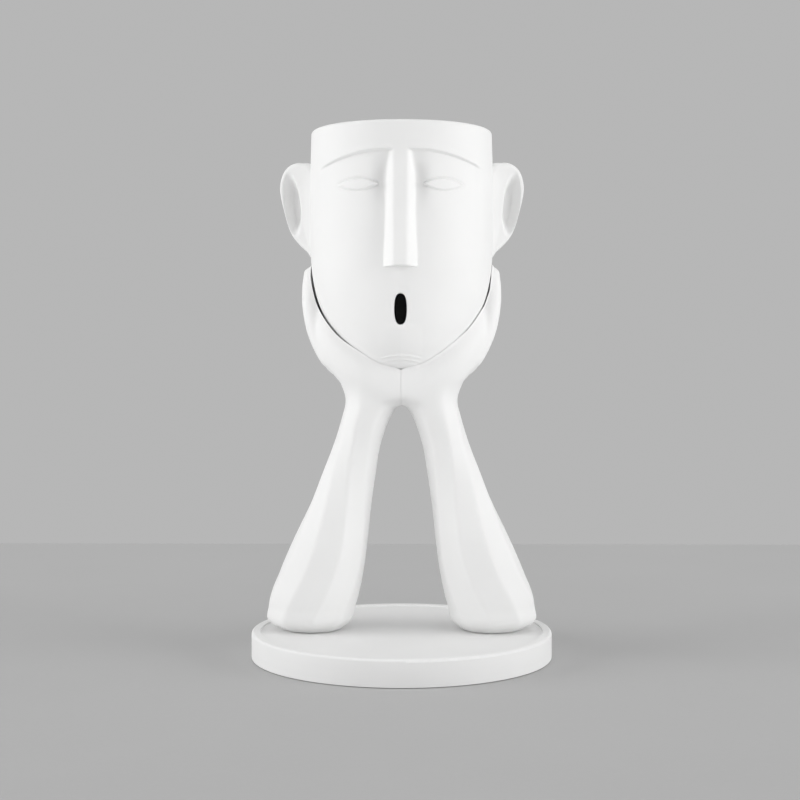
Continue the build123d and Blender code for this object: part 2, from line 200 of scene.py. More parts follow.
def curve_through(places: np.ndarray, values: np.ndarray, at: np.ndarray) -> np.ndarray:
    """Smooth curve through rows of values.

    Args:
        places: Rising places of the rows.
        values: One row of values for each place.
        at: Places to read the curve at.

    Returns:
        One row of values for each place that was asked for.
    """
    slopes = np.gradient(values, places, axis=0)
    held = np.clip(at, places[0], places[-1])
    low = np.clip(np.searchsorted(places, held, side="right") - 1, 0, len(places) - 2)
    span = (places[low + 1] - places[low])[:, None]
    share = ((held - places[low])[:, None]) / span
    start, end = values[low], values[low + 1]
    leave, arrive = slopes[low] * span, slopes[low + 1] * span
    return (
        (2 * share**3 - 3 * share**2 + 1) * start
        + (share**3 - 2 * share**2 + share) * leave
        + (3 * share**2 - 2 * share**3) * end
        + (share**3 - share**2) * arrive
    )


def loop_through(points: np.ndarray, count: int) -> np.ndarray:
    """Smooth closed line through points, as a count of points along it."""
    turns = np.arange(-2, len(points) + 3)
    ring = points[turns % len(points)]
    at = np.linspace(0.0, len(points), count, endpoint=False)
    return curve_through(turns.astype(float), ring, at)


def unit_ring(turns: np.ndarray, power: float) -> Tuple[np.ndarray, np.ndarray]:
    """Places across and along a ring of half width 1, squarer the higher its power is."""
    across, along = np.cos(turns), np.sin(turns)
    return np.sign(across) * np.abs(across) ** (2 / power), np.sign(along) * np.abs(along) ** (2 / power)


def full_turn(count: int) -> np.ndarray:
    """Evenly spaced turns all the way round, in radians."""
    return np.linspace(0.0, 2 * math.pi, count, endpoint=False)


def drawn_in(ring: np.ndarray, shares: Sequence[float]) -> np.ndarray:
    """Copies of a ring drawn in towards its middle by shares of its size."""
    middle = ring.mean(axis=0)
    return np.stack([middle + (ring - middle) * share for share in shares])


def capped(rings: np.ndarray, shares: Sequence[float] = (0.0, 0.5)) -> np.ndarray:
    """Rings with both ends closed by copies drawn in to a point."""
    return np.concatenate([drawn_in(rings[0], shares), rings, drawn_in(rings[-1], shares[::-1])])


def stepped(stops: Rows) -> np.ndarray:
    """Values from stop to stop, each stop giving a value and the step that follows it."""
    values: List[float] = []
    for (start, step), (end, _) in zip(stops, stops[1:]):
        count = max(1, round((end - start) / step))
        values.extend(np.linspace(start, end, count, endpoint=False))
    values.append(stops[-1][0])
    return np.array(values)


# Node tools


Value = Union[float, Tuple[float, ...], "Wire"]


@dataclass
class Wire:
    """Output of a node, on which sums, differences and products add Math nodes."""

    tree: bpy.types.NodeTree
    socket: bpy.types.NodeSocket

    def _math(self, operation: str, *values: Value) -> "Wire":
        """Adds a Math node with these values."""
        node = self.tree.nodes.new("ShaderNodeMath")
        node.operation = operation
        for number, value in enumerate(values):
            if isinstance(value, Wire):
                self.tree.links.new(value.socket, node.inputs[number])
            else:
                node.inputs[number].default_value = value
        return Wire(self.tree, node.outputs[0])

    def __add__(self, other: Value) -> "Wire":
        """Sum."""
        return self._math("ADD", self, other)

    def __radd__(self, other: Value) -> "Wire":
        """Sum with a number first."""
        return self._math("ADD", other, self)

    def __sub__(self, other: Value) -> "Wire":
        """Difference."""
        return self._math("SUBTRACT", self, other)

    def __rsub__(self, other: Value) -> "Wire":
        """Difference with a number first."""
        return self._math("SUBTRACT", other, self)

    def __mul__(self, other: Value) -> "Wire":
        """Product."""
        return self._math("MULTIPLY", self, other)

    def __rmul__(self, other: Value) -> "Wire":
        """Product with a number first."""
        return self._math("MULTIPLY", other, self)

    def sine(self) -> "Wire":
        """Sine of an angle in radians."""
        return self._math("SINE", self)


class NodeBench:
    """A node tree under construction."""

    def __init__(self, tree: bpy.types.NodeTree) -> None:
        """Takes a tree and empties it."""
        self.tree = tree
        self.tree.nodes.clear()

    def node(self, kind: str, settings: Optional[Dict[str, Any]] = None, **inputs: Value) -> bpy.types.Node:
        """Adds a node.

        Args:
            kind: Node type.
            settings: Values of the node's own settings, set before its sockets.
            **inputs: Values or wires of its sockets, with spaces in their names as underscores,
                or input_N for the socket of that number.

        Returns:
            The new node.
        """
        made = self.tree.nodes.new(kind)
        for key, value in (settings or {}).items():
            setattr(made, key, value)
        for key, value in inputs.items():
            numbered = key.startswith("input_")
            socket = made.inputs[int(key.removeprefix("input_")) if numbered else key.replace("_", " ")]
            if isinstance(value, Wire):
                self.tree.links.new(value.socket, socket)
            else:
                socket.default_value = value
        return made

    def wire(self, made: bpy.types.Node, output: Union[int, str] = 0) -> Wire:
        """Output of a node as a wire."""
        return Wire(self.tree, made.outputs[output])


class Paint(NodeBench):
    """A node material under construction."""

    def __init__(self, name: str) -> None:
        """Starts a material with an empty node tree."""
        self.material = bpy.data.materials.new(name)
        self.material.use_nodes = True
        super().__init__(self.material.node_tree)

    def place(self) -> Wire:
        """Object coordinates."""
        return self.wire(self.node("ShaderNodeTexCoord"), "Object")

    def noise(
        self, scale: float, detail: float = 3.0, rough: float = 0.55, at: Optional[Wire] = None
    ) -> Wire:
        """Noise value over the piece, with a scale in waves to the metre."""
        settings = {"noise_dimensions": "3D"}
        where = at or self.place()
        made = self.node(
            "ShaderNodeTexNoise", settings, Vector=where, Scale=scale, Detail=detail, Roughness=rough
        )
        return self.wire(made, "Fac")

    def blend(self, share: Value, first: Value, second: Value) -> Wire:
        """Colour a share of the way from the first to the second."""
        made = self.node("ShaderNodeMix", {"data_type": "RGBA"}, input_0=share, input_6=first, input_7=second)
        return self.wire(made, 2)

    def bump(self, height: Wire, strength: float, distance: float) -> Wire:
        """Surface normal of a height in units of a distance."""
        made = self.node("ShaderNodeBump", None, Height=height, Strength=strength, Distance=distance)
        return self.wire(made, "Normal")

    def finish(self, **inputs: Value) -> bpy.types.Material:
        """Closes the material with a surface shader that takes these inputs."""
        shader = self.node("ShaderNodeBsdfPrincipled", None, **inputs)
        self.node("ShaderNodeOutputMaterial", None, Surface=self.wire(shader))
        return self.material


def rgb(red: float, green: float, blue: float) -> Tuple[float, ...]:
    """Opaque colour."""
    return (red, green, blue, 1.0)


# Finishes


@dataclass(frozen=True)
class PrintedWhite:
    """Matte white print, with its layers as fine level ridges.

    Each noise gives its scale in waves to the metre, its detail and how rough it is. The layer is
    in millimetres, and so is the depth at the end of the relief.
    """

    slot: str = "white_print"
    cloud: Triple = (38.0, 3.0, 0.5)
    grain: Triple = (1900.0, 2.0, 0.6)
    waver: Triple = (160.0, 2.0, 0.5)
    layer: float = 0.45
    layer_waver: float = 2.2
    dim: Colour = (0.80, 0.80, 0.797)
    bright: Colour = (0.86, 0.86, 0.856)
    grain_tint: Colour = (0.84, 0.84, 0.835)
    grain_share: float = 0.35
    roughness: Triple = (0.57, 0.08, 0.04)
    heights: Triple = (0.16, 1.1, 0.35)
    relief: Pair = (0.30, 0.10)

    def material(self) -> bpy.types.Material:
        """Makes the material."""
        paint = Paint(self.slot)
        axes = paint.node("ShaderNodeSeparateXYZ", None, Vector=paint.place())
        height = paint.wire(axes, "Z")
        cloud, grain, waver = (paint.noise(*each) for each in (self.cloud, self.grain, self.waver))
        ridges = (height * (2.0 * math.pi / (self.layer * MM)) + waver * self.layer_waver).sine()
        tint = paint.blend(cloud, rgb(*self.dim), rgb(*self.bright))
        colour = paint.blend(grain * self.grain_share, tint, rgb(*self.grain_tint))
        least, by_grain, by_cloud = self.roughness
        rough = least + grain * by_grain + cloud * by_cloud
        by_layer, by_waver, by_grain = self.heights
        strength, depth = self.relief
        normal = paint.bump(ridges * by_layer + waver * by_waver + grain * by_grain, strength, depth * MM)
        return paint.finish(Base_Color=colour, Roughness=rough, Normal=normal)


@dataclass(frozen=True)
class MouldedLiner:
    """Dark grey moulded plastic, a little clouded, with a fine sparked texture."""

    slot: str = "liner_plastic"
    cloud_scale: float = 60.0
    spark: Triple = (2600.0, 2.0, 0.6)
    dark: Colour = (0.030, 0.032, 0.034)
    pale: Colour = (0.046, 0.048, 0.051)
    roughness: Pair = (0.42, 0.18)
    relief: Pair = (0.25, 0.08)

    def material(self) -> bpy.types.Material:
        """Makes the material."""
        paint = Paint(self.slot)
        cloud = paint.noise(self.cloud_scale)
        spark = paint.noise(*self.spark)
        colour = paint.blend(cloud, rgb(*self.dark), rgb(*self.pale))
        least, more = self.roughness
        strength, depth = self.relief
        normal = paint.bump(spark, strength, depth * MM)
        return paint.finish(Base_Color=colour, Roughness=least + spark * more, Normal=normal)


@dataclass(frozen=True)
class Grained:
    """Finish whose one grain sets its colour, its roughness and its relief.

    The grain gives its scale in waves to the metre, its detail and how rough it is, the roughness
    its least value and what the grain adds, and the relief its strength and its depth in millimetres.
    """

    slot: str
    grain: Triple
    dark: Colour
    pale: Colour
    roughness: Pair
    relief: Pair
    metallic: float = 0.0
    stretch: Triple = (1.0, 1.0, 1.0)

    def material(self) -> bpy.types.Material:
        """Makes the material."""
        paint = Paint(self.slot)
        stretched = paint.node("ShaderNodeMapping", None, Vector=paint.place(), Scale=self.stretch)
        grain = paint.noise(*self.grain, paint.wire(stretched))
        colour = paint.blend(grain, rgb(*self.dark), rgb(*self.pale))
        least, more = self.roughness
        strength, depth = self.relief
        normal = paint.bump(grain, strength, depth * MM)
        rough = least + grain * more
        return paint.finish(Base_Color=colour, Metallic=self.metallic, Roughness=rough, Normal=normal)


@dataclass(frozen=True)
class BeechDowel(Grained):
    """Pale beech with grain along the pin."""

    slot: str = "dowel_wood"
    grain: Triple = (1400.0, 4.0, 0.6)
    dark: Colour = (0.42, 0.26, 0.13)
    pale: Colour = (0.62, 0.44, 0.26)
    roughness: Pair = (0.55, 0.15)
    relief: Pair = (0.3, 0.05)
    stretch: Triple = (0.12, 1.0, 1.0)


@dataclass(frozen=True)
class ZincScrew(Grained):
    """Zinc-plated steel, a little mottled."""

    slot: str = "screw_steel"
    grain: Triple = (900.0, 4.0, 0.6)
    dark: Colour = (0.52, 0.53, 0.55)
    pale: Colour = (0.70, 0.70, 0.70)
    roughness: Pair = (0.28, 0.2)
    relief: Pair = (0.15, 0.04)
    metallic: float = 1.0


@dataclass(frozen=True)
class PadRubber(Grained):
    """Soft grey rubber with a dull, pitted skin."""

    slot: str = "pad_rubber"
    grain: Triple = (1800.0, 3.0, 0.65)
    dark: Colour = (0.055, 0.055, 0.056)
    pale: Colour = (0.095, 0.095, 0.096)
    roughness: Pair = (0.82, 0.1)
    relief: Pair = (0.35, 0.08)


@dataclass(frozen=True)
class StageGrey:
    """Plain pale grey of the floor, a little clouded and specked."""

    name: str
    tone: float
    cloud: Triple = (9.0, 4.0, 0.6)
    speck: Triple = (420.0, 3.0, 0.7)
    speck_share: float = 0.4
    variation: float = 0.05
    roughness: float = 0.9

    def material(self) -> bpy.types.Material:
        """Makes the material."""
        paint = Paint(self.name)
        cloud, speck = paint.noise(*self.cloud), paint.noise(*self.speck)
        dark, pale = (rgb(*[self.tone * (1.0 + by)] * 3) for by in (-self.variation, self.variation))
        share = cloud * (1.0 - self.speck_share) + speck * self.speck_share
        return paint.finish(Base_Color=paint.blend(share, dark, pale), Roughness=self.roughness)


Finish = Union[PrintedWhite, MouldedLiner, Grained]


def dress(piece: bpy.types.Object, finish: Finish) -> None:
    """Gives a piece one finish, in place of the materials it had."""
    piece.data.materials.clear()
    piece.data.materials.append(finish.material())


# The head


@dataclass
class HeadForm:
    """Bare form of the head, read by the head itself and by the hands that hold it.

    Each row of the sections gives shares of the height, the half width, and the half depth to the
    front and to the back, and the share of a growth that goes down instead of out.
    """

    width: float = 78.0
    depth: float = 78.0
    height: float = 104.0
    chin: float = 122.0
    power: float = 2.1
    side_limit: float = 0.98
    sections: Rows = (
        (0.00, 0.130, 0.500, -0.100, 0.95),
        (0.04, 0.370, 0.660, 0.160, 0.86),
        (0.10, 0.580, 0.800, 0.400, 0.73),
        (0.18, 0.765, 0.900, 0.630, 0.56),
        (0.28, 0.900, 0.965, 0.820, 0.35),
        (0.40, 0.980, 1.000, 0.945, 0.17),
        (0.52, 1.005, 1.010, 0.995, 0.03),
        (0.64, 1.010, 1.012, 1.008, 0.00),
        (0.76, 1.008, 1.010, 1.008, 0.00),
        (0.88, 1.002, 1.004, 1.004, 0.00),
        (1.00, 0.993, 0.995, 0.995, 0.00),
    )

    def level(self, share: float) -> float:
        """Height of a share of the way from the chin to the rim."""
        return self.chin + share * self.height

    def sections_grown(self, growth: Union[float, np.ndarray]) -> Tuple[np.ndarray, np.ndarray]:
        """Sizes of the rows of the grown head.

        Args:
            growth: One distance for all rows, or one for each.

        Returns:
            The height of each row, and its half width, middle and half depth.
        """
        rows = np.array(self.sections)
        outward = growth * np.sqrt(1.0 - rows[:, 4] ** 2)
        front = rows[:, 2] * self.depth / 2 + outward
        back = rows[:, 3] * self.depth / 2 + outward
        heights = self.level(rows[:, 0]) - growth * rows[:, 4]
        half = rows[:, 1] * self.width / 2 + outward
        return heights, np.stack([half, (back - front) / 2, (back + front) / 2], axis=1)

    def section_at(self, heights: np.ndarray, growth: float = 0.0) -> np.ndarray:
        """Half width, middle and half depth of the grown head at some heights."""
        places, values = self.sections_grown(growth)
        return curve_through(places, values, heights)

    def rings(self, heights: np.ndarray, turns: np.ndarray, growth: float = 0.0) -> np.ndarray:
        """Rings of points round the head.

        Args:
            heights: One height for each ring.
            turns: Turns of the points, in radians from the +X side.
            growth: Distance that the surface stands outside the bare head.

        Returns:
            Points in an array of rings, turns and coordinates.
        """
        half, middle, deep = (self.section_at(heights, growth)[:, n][:, None] for n in range(3))
        across, along = unit_ring(turns, self.power)
        level = np.repeat(heights[:, None], len(turns), axis=1)
        return np.stack([half * across, middle + deep * along, level], axis=2)

    def side_at(self, along: np.ndarray, heights: np.ndarray, growth: np.ndarray) -> np.ndarray:
        """Distance of the grown head's side from the middle plane, at points of the side view."""
        reach = []
        for y, z, grown in zip(along, heights, growth):
            half, middle, deep = self.section_at(np.array([z]), float(grown))[0]
            share = min(abs(y - middle) / deep, self.side_limit)
            reach.append(half * (1.0 - share**self.power) ** (1 / self.power))
        return np.array(reach)


@dataclass
class HeadPot:
    """Hollow head with its face, its ears and the open mouth."""

    form: HeadForm
    finish: PrintedWhite
    # Wall, rim and the ledge that carries the liner
    wall: float = 3.2
    rim_radius: float = 1.2
    ledge_drop: float = 6.0
    ledge_thickness: float = 3.2
    ledge_radius: float = 32.63
    ledge_edge: float = 0.3
    ledge_relief: float = 0.6
    # Rings: the lip's first bend, end and step in degrees, turns with the step that follows each, and
    # the heights between which rows lie close
    lip_bends: Triple = (12.0, 169.0, 12.0)
    hollow_rows: int = 46
    chin_shares: Tuple[float, ...] = (0.0, 0.4, 0.75)
    floor_shares: Tuple[float, ...] = (0.7, 0.35, 0.0)
    turn_stops: Rows = ((-160.0, 0.75), (-20.0, 2.2), (200.0, 2.2))
    close_rows: Pair = (194.0, 216.0)
    # Brow: heights at the middle, halfway out and at the end, its fade past the span and that fade's
    # length, and the rise, place and spread of the ridge over it
    brow_depth: float = 1.5
    brow_shares: Triple = (0.885, 0.878, 0.828)
    brow_span: float = 33.93
    brow_ease: float = 0.9
    brow_fade: Pair = (1.0, 5.0)
    brow_ridge: Triple = (0.24, 0.5, 0.6)
    # Eyes: the lids, the depth of the creases over and under them, and the sockets beside the nose
    eye_share: float = 0.750
    eye_spacing: float = 35.0
    lid_size: Pair = (17.4, 5.0)
    lid_relief: float = 0.85
    lid_ease: float = 0.6
    lid_creases: Pair = (0.42, 0.28)
    crease_spread: float = 0.3
    crease_ends: Pair = (1.1, 0.2)
    socket_depth: float = 2.0
    socket_place: Pair = (6.4, 3.0)
    socket_spread: Pair = (2.6, 6.2)
    # Nose: each row of shares gives the rise, the width and how far it stands out
    nose_base_share: float = 0.425
    nose_rise: float = 2.0
    nose_width: float = 15.5
    nose_projection: float = 9.0
    bridge_width: float = 6.6
    nose_shares: Rows = ((0.0, 1.0, 1.0), (0.66, 0.80, 0.36), (1.0, 0.58, -0.12))
    nose_foot: Pair = (2.4, 2.6)
    nose_edge: float = 0.42
    nose_tip: float = 0.9
    nose_blend: float = 1.0
    nose_reach: float = 12.0
    # Groove under the nose: depth and spread, then its ease there, its end over the mouth and that ease
    groove: Pair = (0.35, 1.9)
    groove_ends: Triple = (1.5, 5.0, 3.0)
    # Mouth: its tool's two ends, rings and points, and the depth, edge and ease of the dish round it
    mouth_share: float = 0.262
    mouth_size: Pair = (5.2, 12.8)
    mouth_power: float = 2.5
    mouth_tool: Tuple[float, float, int, int] = (-6.0, 8.0, 4, 64)
    mouth_dish: Triple = (0.30, 1.25, 0.3)
    # Chin: rise and half width of the keel with its ends and their ease, and the arcs that cross it
    keel: Pair = (0.70, 9.0)
    keel_top: Pair = (5.5, 2.0)
    keel_foot: Pair = (4.0, 4.0)
    arc_depth: float = 0.30
    arc_rises: Tuple[float, ...] = (8.6, 6.9, 5.4)
    arc_bow: float = 0.018
    arc_fold: Pair = (0.22, 0.55)
    arc_ends: Pair = (9.5, 2.0)
    # Ears: outline in shares of the size, rings with their share of the outline and how far forward they
    # stand, and the middle and half sizes of the hollow
    ear_size: Pair = (14.4, 40.0)
    ear_share: float = 0.692
    ear_setback: float = 3.0
    ear_sweep: float = 22.0
    ear_outline: Rows = (
        (-0.17, 0.36),
        (0.32, 0.495),
        (0.80, 0.44),
        (1.00, 0.24),
        (0.84, -0.05),
        (0.58, -0.30),
        (0.10, -0.475),
        (-0.17, -0.50),
    )
    ear_middle: Pair = (0.42, 0.06)
    ear_rings: Rows = (
        (0.00, -2.9),
        (0.45, -3.1),
        (0.78, -3.0),
        (0.94, -1.9),
        (1.00, 0.0),
        (0.985, 1.9),
        (0.94, 3.0),
        (0.88, 3.4),
        (0.80, 3.4),
        (0.60, 3.2),
        (0.40, 3.0),
        (0.20, 2.9),
        (0.00, 2.9),
    )
    ear_hollow: Tuple[float, float, float, float] = (0.55, 0.04, 0.29, 0.37)
    hollow_lean: float = 0.30
    hollow_depth: float = 4.6
    hollow_ease: float = 0.6
    ear_crest: int = 5
    ear_grid: Tuple[int, int] = (84, 72)
    shade_angle: float = 42.0

    def turns(self) -> np.ndarray:
        """Turns round the head, close together over the face."""
        return np.radians(stepped(self.turn_stops)[:-1])

    def face_rows(self) -> np.ndarray:
        """Heights of the outer rings, close together at the brow, the eyes and the nose."""
        nose = self.form.level(self.nose_base_share)
        low, high = self.close_rows
        return stepped((
            (self.form.chin, 0.4),
            (self.form.chin + 9.0, 0.9),
            (nose - 1.2, 0.22),
            (nose + 2.0, 0.8),
            (low, 0.36),
            (high, 1.1),
            (self.form.level(1.0) - self.rim_radius, 1.1),
        ))

    def brow_height(self, across: np.ndarray) -> np.ndarray:
        """Height of the brow line at a distance from the middle plane."""
        inner, peak, outer = (self.form.level(share) for share in self.brow_shares)
        share = np.abs(across) / self.brow_span
        inward = inner * (1 - share) * (1 - 2 * share)
        return inward + peak * 4 * share * (1 - share) + outer * share * (2 * share - 1)

    def socket(self, across: np.ndarray, up: np.ndarray) -> np.ndarray:
        """Depth of the sockets beside the root of the nose, which the hollow follows inside."""
        aside, above = self.socket_place
        wide, tall = self.socket_spread
        eye = self.form.level(self.eye_share)
        return self.socket_depth * bell(np.abs(across) - aside, wide) * bell(up - eye - above, tall)

    def brow(self, across: np.ndarray, up: np.ndarray) -> Tuple[np.ndarray, np.ndarray]:
        """Depth of the face under the brow line, and the share of the sockets that shows there."""
        nose = self.form.level(self.nose_base_share)
        top = self.form.level(self.brow_shares[0])
        line = self.brow_height(across)
        lean = np.clip((up - nose) / (top - nose), 0.0, 1.0)
        under = smooth_step((line - up) / self.brow_ease)
        margin, fade = self.brow_fade
        within = smooth_step((self.brow_span + margin - np.abs(across)) / fade)
        start, ease = self.nose_foot
        beside = smooth_step((np.abs(across) - start) / ease)
        rise, above, spread = self.brow_ridge
        ridge = rise * bell(up - line - above, spread)
        return (self.brow_depth * lean * under - ridge) * within * beside, under * beside

    def eyes(self, across: np.ndarray, up: np.ndarray, shown: np.ndarray) -> np.ndarray:
        """Depth of the sockets and of the creases round the lids, less the lids themselves.

        Args:
            across: Distances from the middle plane.
            up: Heights.
            shown: Share of the sockets that shows at each point.

        Returns:
            The depth at each point.
        """
        eye = self.form.level(self.eye_share)
        half_width, half_height = (size / 2 for size in self.lid_size)
        aside = (np.abs(across) - self.eye_spacing / 2) / half_width
        out = np.abs(up - eye) - np.maximum(1.0 - aside**2, 0.0) * half_height
        lid = smooth_step(-out / self.lid_ease) * (np.abs(aside) < 1)
        crease = bell(out - self.crease_spread, self.crease_spread)
        end, ease = self.crease_ends
        crease *= smooth_step((end - np.abs(aside)) / ease)
        depth = self.socket(across, up) * shown * (1.0 - lid)
        return depth + np.where(up > eye, *self.lid_creases) * crease - self.lid_relief * lid

    def lower_face(self, across: np.ndarray, up: np.ndarray) -> np.ndarray:
        """Depth of the groove under the nose, the dish of the mouth, less the keel, and the chin's arcs."""
        nose, mouth = self.form.level(self.nose_base_share), self.form.level(self.mouth_share)
        chin = self.form.chin
        sunk, spread = self.groove
        top_ease, above, low_ease = self.groove_ends
        ends = smooth_step((nose - up) / top_ease) * smooth_step((up - mouth - above) / low_ease)
        depth = sunk * bell(across, spread) * ends
        rise, half_width = self.keel
        (below, top_ease), (above, low_ease) = self.keel_top, self.keel_foot
        ends = smooth_step((mouth - below - up) / top_ease) * smooth_step((up - chin - above) / low_ease)
        depth -= rise * np.maximum(1.0 - np.abs(across) / half_width, 0.0) * ends
        wide, tall = (size / 2 for size in self.mouth_size)
        dish, edge, ease = self.mouth_dish
        depth += dish * smooth_step((edge - np.hypot(across / wide, (up - mouth) / tall)) / ease)
        fold, spread = self.arc_fold
        edge, ease = self.arc_ends
        for height in self.arc_rises:
            arc = up - (chin + height) + self.arc_bow * across**2
            folded = np.tanh(arc / fold) * bell(arc, spread)
            depth += self.arc_depth * folded * smooth_step((edge - np.abs(across)) / ease)
        return depth

    def sunk(self, across: np.ndarray, up: np.ndarray) -> np.ndarray:
        """Depth of the face below the bare head, for points of the front view."""
        depth, shown = self.brow(across, up)
        return depth + self.eyes(across, up, shown) + self.lower_face(across, up)

    def nose_front(self, across: np.ndarray, up: np.ndarray) -> np.ndarray:
        """Place of the nose's surface along Y, for points of the front view."""
        base = self.form.level(self.nose_base_share)
        top = self.form.level(self.brow_shares[0]) + self.nose_rise
        rows = np.array(self.nose_shares)
        rise = np.clip((up - base) / (top - base), 0.0, 1.0)
        wide = np.interp(rise, rows[:, 0], rows[:, 1]) * self.nose_width / 2
        stands = np.interp(rise, rows[:, 0], rows[:, 2]) * self.nose_projection
        section = self.form.section_at(up.ravel())
        front = (section[:, 2] - section[:, 1]).reshape(up.shape)
        bridge = self.bridge_width / 2
        beside = np.logaddexp(0.0, (np.abs(across) - bridge) / self.nose_edge) * self.nose_edge
        slope = (stands + self.wall) / (wide - bridge)
        below_tip = 1.0 - np.clip((up - base) / self.nose_tip, 0.0, 1.0)
        tip = np.sqrt(np.clip(1.0 - below_tip**2, 0.0, 1.0))
        surface = -(front + stands - (1.0 - tip) * self.nose_tip) + beside * slope
        far_behind = 1000.0
        return np.where((up >= base) & (up <= top), surface, far_behind)

    def outer_rings(self) -> np.ndarray:
        """Rings of the outside, from the chin to the rim, with the face worked in."""
        rings = self.form.rings(self.face_rows(), self.turns())
        across, along, up = rings[..., 0], rings[..., 1], rings[..., 2]
        front = np.sin(self.turns())[None, :] < 0
        faced = along + self.sunk(across, up)
        nosed = soft_least(faced, self.nose_front(across, up), self.nose_blend)
        faced = np.where(np.abs(across) < self.nose_reach, nosed, faced)
        rings[..., 1] = np.where(front, faced, along)
        return rings

    def rim_ring(self, growth: float, height: float) -> np.ndarray:
        """Ring of the rim, grown by a distance and set at a height."""
        ring = self.form.rings(np.array([self.form.level(1.0)]), self.turns())[0]
        ring[:, :2] *= 1.0 + growth / (self.form.width / 2)
        ring[:, 2] = height
        return ring

    def lip_rings(self) -> List[np.ndarray]:
        """Rings over the rounded rim, from the outside to the inside."""
        half = self.wall / 2
        low = self.form.level(1.0) - self.rim_radius
        rings = []
        for bend in np.radians(np.arange(*self.lip_bends)):
            rise = self.rim_radius * math.sin(bend)
            rings.append(self.rim_ring(-half + half * math.cos(bend), low + rise))
        return rings

    def ledge_rings(self) -> List[np.ndarray]:
        """Rings from the inside of the rim down to the ledge and round its edge."""
        rim, turns = self.form.level(1.0), self.turns()
        ledge = rim - self.ledge_drop
        heights = (rim - self.rim_radius, ledge + self.ledge_edge, ledge)
        rings = [self.rim_ring(-self.wall, height) for height in heights]
        across, along = self.ledge_radius * np.cos(turns), self.ledge_radius * np.sin(turns)
        for height in (ledge, ledge - self.ledge_thickness):
            rings.append(np.stack([across, along, np.full_like(turns, height)], axis=1))
        return rings

    def hollow_rings(self) -> np.ndarray:
        """Rings of the hollow from the ledge down, which follow the sockets behind the face."""
        under = self.form.level(1.0) - self.ledge_drop - self.ledge_thickness
        high = under - (self.form.width / 2 - self.wall - self.ledge_radius) - self.ledge_relief
        low = float(self.form.sections_grown(-self.wall)[0][0])
        rings = self.form.rings(np.linspace(high, low, self.hollow_rows), self.turns(), -self.wall)
        behind_face = rings[..., 1] < 0
        rings[..., 1] += self.socket(rings[..., 0], rings[..., 2]) * behind_face
        return rings

    def shell(self) -> bpy.types.Object:
        """Outside, rim, ledge and hollow of the head in one closed skin."""
        outer, hollow = self.outer_rings(), self.hollow_rings()
        inside = [np.stack(self.lip_rings()), np.stack(self.ledge_rings()), hollow]
        chin = drawn_in(outer[0], self.chin_shares)
        floor = drawn_in(hollow[-1], self.floor_shares)
        return skinned("head_pot_shell", np.concatenate([chin, outer, *inside, floor]))

    def ear(self, side: Side) -> bpy.types.Object:
        """Dished ear that faces the front, rooted in the wall of the head."""
        sweep = math.radians(self.ear_sweep)
        outward = np.array([math.cos(sweep), math.sin(sweep), 0.0])
        facing = np.array([math.sin(sweep), -math.cos(sweep), 0.0])
        root = np.array([self.form.width / 2, self.ear_setback, self.form.level(self.ear_share)])
        steps, points = self.ear_grid
        outline = loop_through(np.array(self.ear_outline), points)
        centre = np.array(self.ear_middle)
        places = np.arange(len(self.ear_rings), dtype=float)
        rows = curve_through(places, np.array(self.ear_rings), np.linspace(0.0, places[-1], steps))
        across, up, half_width, half_height = self.ear_hollow
        crest = places[self.ear_crest] / places[-1]
        rings = []
        for share, (size, stands) in zip(np.linspace(0.0, 1.0, steps), rows):
            flat = centre + (outline - centre) * max(size, 0.0)
            aside = (flat[:, 0] - across - self.hollow_lean * (flat[:, 1] - up)) / half_width
            inside = 1.0 - np.hypot(aside, (flat[:, 1] - up) / half_height)
            sunk = self.hollow_depth * smooth_step(inside / self.hollow_ease) * (share > crest)
            flat = flat * np.array(self.ear_size)
            ring = root + flat[:, :1] * outward + np.array([0.0, 0.0, 1.0]) * flat[:, 1:]
            rings.append(ring + (stands - sunk)[:, None] * facing)
        stacked = np.stack(rings)
        stacked[0], stacked[-1] = stacked[0].mean(axis=0), stacked[-1].mean(axis=0)
        stacked[..., 0] *= side.value
        return skinned("ear_" + side.name.lower(), stacked)

    def mouth(self) -> bpy.types.Object:
        """Tool that opens the mouth through the front wall."""
        before, behind, count, points = self.mouth_tool
        across, upward = unit_ring(full_turn(points), self.mouth_power)
        wide, tall = (size / 2 for size in self.mouth_size)
        middle = self.form.level(self.mouth_share)
        front = -self.form.depth / 2
        rings = []
        for along in np.linspace(front + before, front + behind, count):
            place = np.full_like(across, along)
            rings.append(np.stack([wide * across, place, middle + tall * upward], axis=1))
        return skinned("mouth", capped(np.stack(rings), (0.0,)))

    def build(self) -> bpy.types.Object:
        """Builds and dresses the head.

        Returns:
            The head, which rides on its own body.
        """
        head = self.shell()
        for side in Side:
            combined(head, self.ear(side), Cut.TOGETHER)
        combined(head, self.mouth(), Cut.AWAY)
        head.name = head.data.name = "head_pot_form"
        shade(head, self.shade_angle)
        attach(head, "head")
        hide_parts("head_pot")
        dress(head, self.finish)
        return head


# The arms


